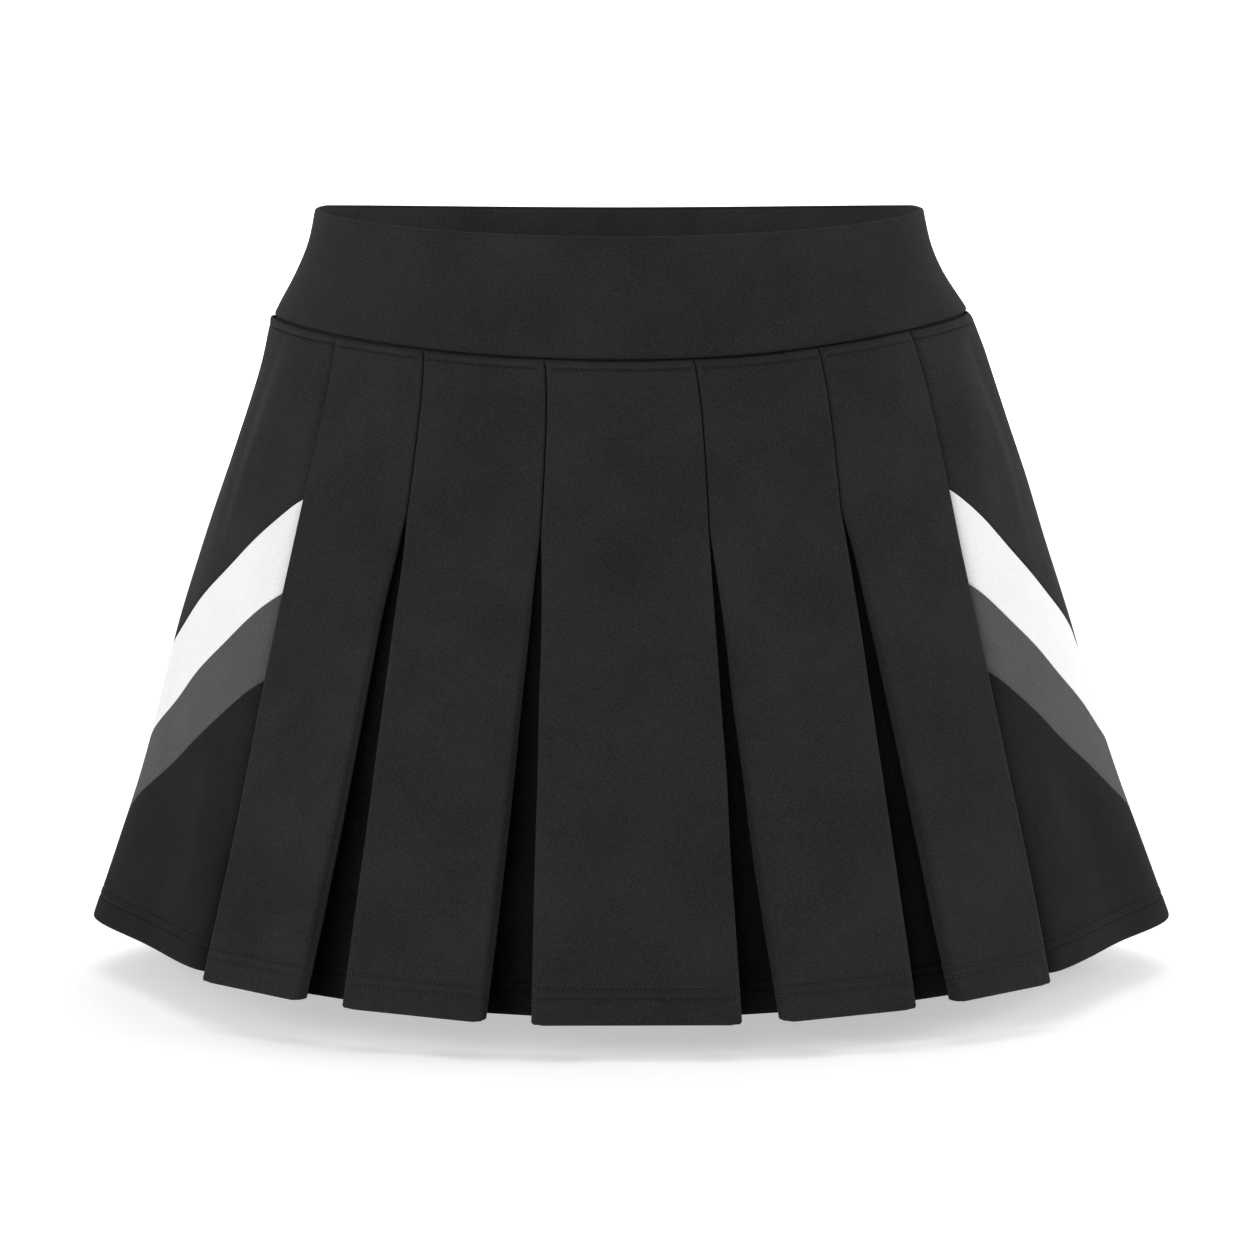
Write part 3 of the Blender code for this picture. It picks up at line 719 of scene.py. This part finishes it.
def make_insert(face, pleat, seed):
    drop = pleat_drop(pleat, LEVELS)
    left = edge_way(pleat, drop, -1) - tuck(pleat, drop)
    right = edge_way(pleat, drop, 1) + tuck(pleat, drop)
    depth = back_depth(pleat, drop)
    share = np.linspace(0.0, 1.0, INSERT_COLUMNS)
    middle = mix(place(face, left, drop, depth), place(face, right, drop, depth), share[:, None])
    normal = outward(face, middle)
    above_hem = HEM - np.broadcast_to(drop, middle.shape[:2])
    fade = OPEN * smooth(share / 0.3) * smooth((1 - share) / 0.3)
    relief = INSERT_WAVE * ripples(share * (right - left), drop, seed) * fade + 0.8 * hem_relief(above_hem)
    middle = middle + normal * relief[..., None]
    inner = hem_wall(above_hem)
    piece, outside, inside = cloth_wall(f"{face}_insert_{pleat.name}", face, middle, CLOTH / 2, inner)
    put_on(piece, INSERT_KNIT_PAINTED_SHADE, "black_knit", f"{face}_insert_{pleat.name}")
    top = 2 * (TUCK_SEAM + SEAM_ALLOWANCE)
    bottom = pleat.hem_right - pleat.hem_left + 2 * (TUCK_HEM + SEAM_ALLOWANCE)
    hang(top, bottom)
    rows = hem_rows(len(LEVELS))
    insert_stitch_paths.extend(outside[rows])
    overlock_lines.append(inside[rows])
    overlock_lines.append((inside[:, 0], inside[:, 2]))
    overlock_lines.append((inside[:, -1], inside[:, -3]))


for face, seed in (("front", 300), ("back", 400)):
    for index, pleat in enumerate(PLEATS[1:-1]):
        make_insert(face, pleat, seed + index)

# Side gores. One at each side of the front and back, pieced from an upper cut, a white stripe, a grey stripe
# and a lower cut, whose stripes point down at the side seam. Each starts under the outermost pleat's fold.
WHITE_KNIT = knit("white_double_knit", (0.785, 0.785, 0.797), (0.89, 0.89, 0.905))
# The darker cuts have painted shade towards the pleat's fold, which hangs over them
GREY_KNIT = knit(
    "grey_double_knit", (0.068, 0.065, 0.067), (0.106, 0.101, 0.104), painted_fold_shade=PaintedFoldShade(0.6, 0.0032, 0.0),
)
# The upper cuts also have a painted highlight, a paler streak down the cut
UPPER_KNIT = knit(
    "black_double_knit_upper_cuts", (0.0155, 0.0141, 0.0145), (0.0300, 0.0277, 0.0283),
    painted_fold_shade=PaintedFoldShade(0.95, 0.0020, 0.0), painted_crease_highlight=PaintedCreaseHighlight(0.5, 0.0365, 0.34, 0.0042, 0.052, 0.040),
)
# The lower cuts: the same black knit painted about a third darker, as painted shade, and without sheen
LOWER_KNIT_PAINTED_SHADE = knit(
    "black_double_knit_lower_cuts", (0.0104, 0.0095, 0.0098), (0.0198, 0.0183, 0.0188), sheen=0.0,
    painted_fold_shade=PaintedFoldShade(0.95, 0.0040, 0.055),
)
CUT_GAP = 0.12
CUT_EDGE = 0.62  # how much of a cut's edge its rounded rim takes up
CUT_FOOT = np.array((
    # below a cut's seam, and how far its allowance then lies inside, behind the next cut's top edge
    (-0.55, 0.0), (-0.15, 0.22), (0.25, 0.75), (0.8, 1.1), (1.8, 1.15), (3.6, 1.15), (5.4, 1.15),
))
# The front's allowance at the side seam lies inside the back: how far, at these shares of the gore's width
SIDE_FOOT = ((1.012, 0.9), (1.03, 2.1), (1.07, 2.3))
SIDE_SLACK = 0.5
SIDE_GAP = 0.55  # from the side seam to a cut's edge
SIDE_RECESSES = {"side_left": 9.5, "side_right": 13.0}  # a side gore's depth beside the pleat, at the hem
RECESS_REACH = 7.5  # how far from the pleat it has nearly come up again, at the hem
RECESS_REACH_SHUT = 0.35  # the share of that reach where the pleat is stitched shut
RECESS_NEAR, RECESS_FAR = 0.75, 0.25  # the shares of it that have this reach, and three times it
SIDE_HEM = HEM - 2.0  # its drop beside the pleat
SIDE_ROUNDING = 4
Cut = namedtuple("Cut", "name material slot at_left_pleat at_right_pleat at_side rows flat area")
CUTS = (
    Cut("upper", UPPER_KNIT, "black_knit", 119.0, 115.0, 204.0, 36, (0.176, 0.121), 0.0145),
    Cut("white_stripe", WHITE_KNIT, "white_knit", 159.0, 155.0, 245.0, 18, (0.186, 0.054), 0.0073),
    Cut("grey_stripe", GREY_KNIT, "grey_knit", 196.0, 192.0, 278.0, 16, (0.190, 0.048), 0.0070),
    Cut("lower", LOWER_KNIT_PAINTED_SHADE, "black_knit", SIDE_HEM, SIDE_HEM, HEM, 36, (0.194, 0.121), 0.0185),
)
SIDE_SHARES = np.concatenate((np.linspace(-1.0, 0.0, TUCK_COLUMNS + 1)[:-1], crowded(45, 0.5)))
SIDE_WAVE = 0.6
# The trough down a side gore's lower part: its depth, its width as a share, and its shares at two drops
TROUGH, TROUGH_WIDTH = 1.7, 0.15
TROUGH_SHARES, TROUGH_DROPS = (0.37, 0.53), (235.0, 300.0)


def side_points(face, pleat, share, drop):
    """Points of a side gore. Share is 0 at the pleat's edge, 1 at the side seam, and -1 at its tucked end."""
    outside = math.copysign(1, pleat.seam)
    edge = edge_way(pleat, drop, -outside)
    recess = mix(FOLDED_DEPTH + SIDE_SLACK, SIDE_RECESSES[pleat.name], opened(pleat, drop) ** 1.3)
    under = place(
        face, edge + outside * share * tuck(pleat, drop), drop,
        mix(recess, back_depth(pleat, drop) + SIDE_SLACK, -share),
    )
    seam = outside * (side_way(face, drop) - SIDE_GAP)
    from_pleat = np.maximum(share, 0.0) * np.abs(seam - edge)
    reach = RECESS_REACH * mix(RECESS_REACH_SHUT, 1.0, smooth(1.5 * opened(pleat, drop)))
    near = RECESS_NEAR * np.exp(-((from_pleat / reach) ** 1.5))
    inset = recess * (near + RECESS_FAR * bell(from_pleat / 3, reach))
    on_ring = place(face, mix(edge, seam, share), drop, inset)
    across = mix(place(face, edge, drop, inset), place(face, seam, drop), share[..., None])
    flat = opened(pleat, drop) * (1 - np.clip(share, 0.0, 1.0) ** SIDE_ROUNDING)
    return np.where(share[..., None] <= 0, under, mix(on_ring, across, flat[..., None]))


def cut_bottom(cut, pleat, share):
    """The drop of a cut's lower edge, which slopes down from the pleat to the side seam."""
    at_pleat = cut.at_left_pleat if pleat.seam < 0 else cut.at_right_pleat
    return mix(at_pleat, cut.at_side, np.clip(share, 0.0, 1.0))


def side_columns(face, pleat):
    """The columns' shares, how far inside they lie, and the order of the left side's or the right's."""
    shares, inset = SIDE_SHARES, np.zeros(len(SIDE_SHARES))
    if face == "front":
        shares = np.append(shares, [share for share, _ in SIDE_FOOT])
        inset = np.append(inset, [depth for _, depth in SIDE_FOOT])
    # The columns of every piece run towards +X
    order = slice(None, None, -1 if pleat.seam < 0 else 1)
    return shares[None, order], inset[order], order


def cut_rows(index, pleat, shares):
    """The drop of every point of a cut, and how far inside each of its rows lies."""
    cut = CUTS[index]
    bottom = cut_bottom(cut, pleat, shares)
    if cut.name == "upper":
        head = SKIRT_TOP + BELOW_WAIST[:-1, None] + np.zeros_like(shares)
        top = np.full_like(shares, SKIRT_TOP + BELOW_WAIST[-1])
    else:
        head = bottom[:0]
        top = cut_bottom(CUTS[index - 1], pleat, shares) + CUT_GAP + CUT_EDGE
    if cut.name == "lower":
        down = np.linspace(0.0, 1.0, cut.rows)[:, None]
        drop = np.concatenate((mix(top, bottom - HEM_ZONE, down), bottom - ABOVE_HEM[:, None]))
        return drop, np.zeros(len(drop))
    down = crowded(cut.rows, 0.6)[:, None]
    drop = np.concatenate((head, mix(top, bottom + CUT_FOOT[0, 0], down), bottom + CUT_FOOT[1:, :1]))
    return drop, np.concatenate((np.zeros(len(drop) - len(CUT_FOOT)), CUT_FOOT[:, 1]))


def side_relief(share, drop, above_hem, seed):
    """How far a side gore's cloth stands out: its waves, its hem and top edge, and the trough lower down."""
    fade = smooth((drop - WAVE_TOP) / WAVE_FADE) * smooth(share / 0.12) * smooth((1 - share) / 0.12)
    relief = SIDE_WAVE * ripples(share * 120.0, drop, seed, 80.0, 35.0) * fade
    relief = relief + hem_relief(above_hem) * smooth((1 - share) / 0.05)
    relief = relief + waist_relief(drop - SKIRT_TOP) * smooth((1 - share) / 0.45)
    down = (drop - TROUGH_DROPS[0]) / (TROUGH_DROPS[1] - TROUGH_DROPS[0])
    trough = bell(share - mix(*TROUGH_SHARES, down), TROUGH_WIDTH)
    trough = trough * smooth((drop - 185.0) / 70.0) * mix(0.35, 1.0, smooth((HEM - drop) / 45.0))
    return relief - TROUGH * trough


def make_side_gore(face, pleat, seed):
    shares, side_inset, order = side_columns(face, pleat)
    at_fold = np.flatnonzero(shares[0] == 0.0)[0]
    for index, cut in enumerate(CUTS):
        drop, inset = cut_rows(index, pleat, shares)
        hemmed = cut.name == "lower"
        above_hem = cut_bottom(cut, pleat, shares) - drop if hemmed else np.full(drop.shape, np.inf)
        share = np.broadcast_to(shares, drop.shape)
        middle = side_points(face, pleat, share, drop)
        relief = side_relief(share, drop, above_hem, seed) - inset[:, None] - side_inset
        middle = middle + outward(face, middle) * relief[..., None]
        name = f"{face}_{pleat.name}_{cut.name}"
        inner = hem_wall(above_hem)
        piece, outside, inside = cloth_wall(name, face, middle, CLOTH / 2, inner, datum=at_fold)
        put_on(piece, cut.material, cut.slot, name)
        outside, inside = outside[:, order], inside[:, order]
        if hemmed:
            sewn = slice(TUCK_COLUMNS - 2, len(SIDE_SHARES))
            rows = hem_rows(len(drop))
            hem_stitch_paths.extend(outside[rows, sewn])
            overlock_lines.append(inside[rows, sewn])
        else:
            overlock_lines.append(inside[[-1, -3], :len(SIDE_SHARES)])
        if face == "front":
            foot = len(drop) - (0 if hemmed else len(CUT_FOOT))
            overlock_lines.append((inside[:foot, -1], inside[:foot, -2]))
        if cut.name == "upper":
            waist_stitch_paths.append(outside[WAIST_ROW, TUCK_COLUMNS:len(SIDE_SHARES)])


for face, seed in (("front", 500), ("back", 600)):
    make_side_gore(face, PLEATS[0], seed)
    make_side_gore(face, PLEATS[-1], seed + 1)

# Stitching. Black polyester thread: two rows round every hem, and one row under the waist seam. Each stitch
# is a short rounded piece of thread that dips in at both ends.
STRAND_SCALE = 2600.0  # of the noise for the thread's strands


def thread(name, dark, light, shine, roughness=0.6):
    material, wire, shader = new_material(name)
    strands = wire.noise(STRAND_SCALE, 2.0)
    colour = wire.node(
        "ShaderNodeMix", {"data_type": "RGBA", "clamp_factor": True},
        {"Factor": strands, 6: (*dark, 1.0), 7: (*light, 1.0)}, 2,
    )
    bump = wire.node("ShaderNodeBump", {}, {"Height": strands, "Strength": 0.4, "Distance": 0.0001})
    plug(shader, {"Base Color": colour, "Normal": bump, "Roughness": roughness, "Specular IOR Level": shine})
    return material


BLACK_THREAD = thread("black_thread", (0.018, 0.0167, 0.0171), (0.054, 0.0506, 0.0520), 0.4, 0.45)
# The stitches inside the pleats: the same black thread, painted far darker as shade, and less shiny
INSERT_THREAD_PAINTED_SHADE = thread("black_thread_inside_pleats", (0.002, 0.0018, 0.0019), (0.011, 0.0102, 0.0105), 0.1)


def stitch_tree():
    """Geometry Nodes that lay stitches along curves."""
    tree = bpy.data.node_groups.new("stitches_along_seams", "GeometryNodeTree")
    inputs = {}
    tree.interface.new_socket("Geometry", in_out="INPUT", socket_type="NodeSocketGeometry")
    for label, kind in (
        ("Pitch", "Float"), ("Stitch Length", "Float"), ("Thread Radius", "Float"), ("Unevenness", "Float"),
        ("Seed", "Int"), ("Thread", "Material"),
    ):
        socket = tree.interface.new_socket(label, in_out="INPUT", socket_type=f"NodeSocket{kind}")
        inputs[label] = socket.identifier
    tree.interface.new_socket("Geometry", in_out="OUTPUT", socket_type="NodeSocketGeometry")
    source, wire = tree.nodes.new("NodeGroupInput"), Wire(tree)
    given = {label: Wire(tree, source.outputs[label]) for label in ("Geometry", *inputs)}
    radius, unevenness = given["Thread Radius"], given["Unevenness"]
    spaced = wire.node(
        "GeometryNodeResampleCurve", {"mode": "LENGTH"},
        {"Curve": given["Geometry"], "Length": given["Pitch"]},
    )
    # A sphere's poles are turned to the stitch's ends, and then it is stretched to its length
    bead = wire.node("GeometryNodeMeshUVSphere", {}, {"Segments": 6, "Rings": 4, "Radius": 1.0})
    laid = wire.node("GeometryNodeTransform", {}, {"Geometry": bead, "Rotation": (0.0, math.pi / 2, 0.0)})
    half = given["Stitch Length"] * 0.5
    size = wire.node("ShaderNodeCombineXYZ", {}, {"X": half, "Y": radius, "Z": radius})
    stitch = wire.node("GeometryNodeTransform", {}, {"Geometry": laid, "Scale": size})
    stitch = wire.node("GeometryNodeSetShadeSmooth", {}, {"Geometry": stitch})
    low, high = (
        wire.node("ShaderNodeVectorMath", {"operation": "SCALE"}, {0: (end, end, end), "Scale": unevenness})
        for end in (-1.0, 1.0)
    )
    shift = wire.node(
        "FunctionNodeRandomValue", {"data_type": "FLOAT_VECTOR"}, {0: low, 1: high, "Seed": given["Seed"]},
    )
    spaced = wire.node("GeometryNodeSetPosition", {}, {"Geometry": spaced, "Offset": shift})
    tangent = wire.node("GeometryNodeInputTangent")
    turned = wire.node("FunctionNodeAlignRotationToVector", {"axis": "X"}, {"Vector": tangent})
    copies = wire.node(
        "GeometryNodeInstanceOnPoints", {}, {"Points": spaced, "Instance": stitch, "Rotation": turned},
    )
    real = wire.node("GeometryNodeRealizeInstances", {}, {"Geometry": copies})
    sewn = wire.node("GeometryNodeSetMaterial", {}, {"Geometry": real, "Material": given["Thread"]})
    tree.links.new(sewn.socket, tree.nodes.new("NodeGroupOutput").inputs[0])
    return tree, inputs


STITCHES, STITCH_INPUTS = stitch_tree()
STITCH_PITCH, STITCH_LENGTH, THREAD_RADIUS = 2.0, 1.25, 0.2


def guide_along(name, paths):
    """A guide whose lines run along paths, each a list of points in millimetres."""
    lines = bpy.data.curves.new(name + "_lines", "CURVE")
    lines.dimensions = "3D"
    for path in paths:
        spline = lines.splines.new("POLY")
        spline.points.add(len(path) - 1)
        spline.points.foreach_set("co", np.c_[path * MM, np.ones(len(path))].ravel())
    return add(name + "_guide", lines)


def thread_piece(name, guide):
    """One plain mesh of what a guide has become, in the guide's place."""
    graph = bpy.context.evaluated_depsgraph_get()
    mesh = bpy.data.meshes.new_from_object(guide.evaluated_get(graph))
    bpy.data.objects.remove(guide)
    mesh.name = name
    piece = add(name, mesh)
    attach(piece, "root")
    return piece


def sew(name, paths, material, unevenness, seed):
    """Stitches along paths."""
    guide = guide_along(name, paths)
    rule = guide.modifiers.new("stitches", "NODES")
    rule.node_group = STITCHES
    for label, value in (
        ("Pitch", STITCH_PITCH * MM), ("Stitch Length", STITCH_LENGTH * MM),
        ("Thread Radius", THREAD_RADIUS * MM), ("Unevenness", unevenness * MM), ("Seed", seed),
        ("Thread", material),
    ):
        rule[STITCH_INPUTS[label]] = value
    thread_piece(name, guide)


sew("hem_stitches", hem_stitch_paths, BLACK_THREAD, 0.06, 1)
sew("insert_hem_stitches", insert_stitch_paths, INSERT_THREAD_PAINTED_SHADE, 0.06, 3)
sew("waist_stitches", waist_stitch_paths, BLACK_THREAD, 0.05, 2)

# Overlocking. Finer thread on the inside, in zigzags over the raw edges of the seams' allowances, and between
# the two rows of stitches of every hem, as an overlock and a coverstitch machine lay it.
OVERLOCK_PITCH = 1.9
OVERLOCK_RADIUS = 0.16
OVERLOCK_THREAD = thread("black_overlock_thread", (0.012, 0.011, 0.0114), (0.040, 0.0375, 0.0385), 0.3)


def along(line, shares):
    """Points at shares of a line's length."""
    way = lengths(line, 0)
    return np.stack([np.interp(shares * way[-1], way, line[:, k]) for k in range(3)], axis=-1)


zigzags = []
for edge, reach in overlock_lines:
    count = int(lengths(edge, 0)[-1] / OVERLOCK_PITCH)
    path = np.empty((2 * count, 3))
    path[0::2] = along(edge, np.arange(count) / count)
    path[1::2] = along(reach, (np.arange(count) + 0.5) / count)
    zigzags.append(path)
guide = guide_along("overlock", zigzags)
guide.data.bevel_depth, guide.data.bevel_resolution = OVERLOCK_RADIUS * MM, 0
piece = thread_piece("overlocking", guide)
piece.data.materials.clear()
piece.data.materials.append(OVERLOCK_THREAD)

# Studio. A plain pale floor just below the hem runs into a bright backdrop, with a large soft lamp in front
# to the left, one at each side, one above and behind, and a faint even light all round.
FLOOR = -0.348


def studio_material(name, colour, glow):
    material, _, shader = new_material(name)
    plug(shader, {
        "Base Color": (*colour, 1.0), "Roughness": 1.0, "Specular IOR Level": 0.0,
        "Emission Color": (1.0, 1.0, 1.0, 1.0), "Emission Strength": glow,
    })
    return material


def panel(name, corners, material):
    mesh = bpy.data.meshes.new(name)
    mesh.from_pydata(corners, [], [(0, 1, 2, 3)])
    mesh.materials.append(material)
    sheet = add(name, mesh)


panel(
    "floor", [(-4.0, -4.0, FLOOR), (4.0, -4.0, FLOOR), (4.0, 4.0, FLOOR), (-4.0, 4.0, FLOOR)],
    studio_material("pale_floor", (0.90, 0.90, 0.90), 0.37),
)
panel(
    "backdrop", [(-3.6, 3.2, FLOOR), (3.6, 3.2, FLOOR), (3.6, 3.2, 2.6), (-3.6, 3.2, 2.6)],
    studio_material("bright_backdrop", (0.8, 0.8, 0.8), 1.1),
)


def soft_lamp(name, place_at, aim, width, height, power):
    lamp = add(name, bpy.data.lights.new(name, "AREA"))
    lamp.data.shape = "RECTANGLE"
    lamp.data.size, lamp.data.size_y = width, height
    lamp.data.energy = power
    lamp.location = place_at
    direction = np.array(aim) - np.array(place_at)
    turn = math.atan2(direction[1], direction[0])
    tilt = math.acos(direction[2] / np.linalg.norm(direction))
    lamp.rotation_euler = (math.pi - tilt, 0.0, turn - math.pi / 2)


soft_lamp("lamp_front", (-0.8, -1.95, 0.45), (0.0, 0.0, -0.2), 2.0, 1.1, 14.2)
soft_lamp("lamp_left", (-1.85, -0.70, 0.35), (0.0, 0.0, -0.15), 1.0, 0.95, 8.5)
soft_lamp("lamp_right", (1.90, -0.10, 0.50), (0.0, 0.0, -0.15), 1.0, 0.95, 17.0)
soft_lamp("lamp_above", (0.0, 0.8, 1.9), (0.0, 0.0, -0.2), 2.4, 2.4, 24.0)

world = bpy.data.worlds.new("studio_air")
world.use_nodes = True
plug(world.node_tree.nodes["Background"], {"Color": (1.0, 1.0, 1.0, 1.0), "Strength": 0.28})
bpy.context.scene.world = world
bpy.context.scene.view_settings.view_transform = "Standard"
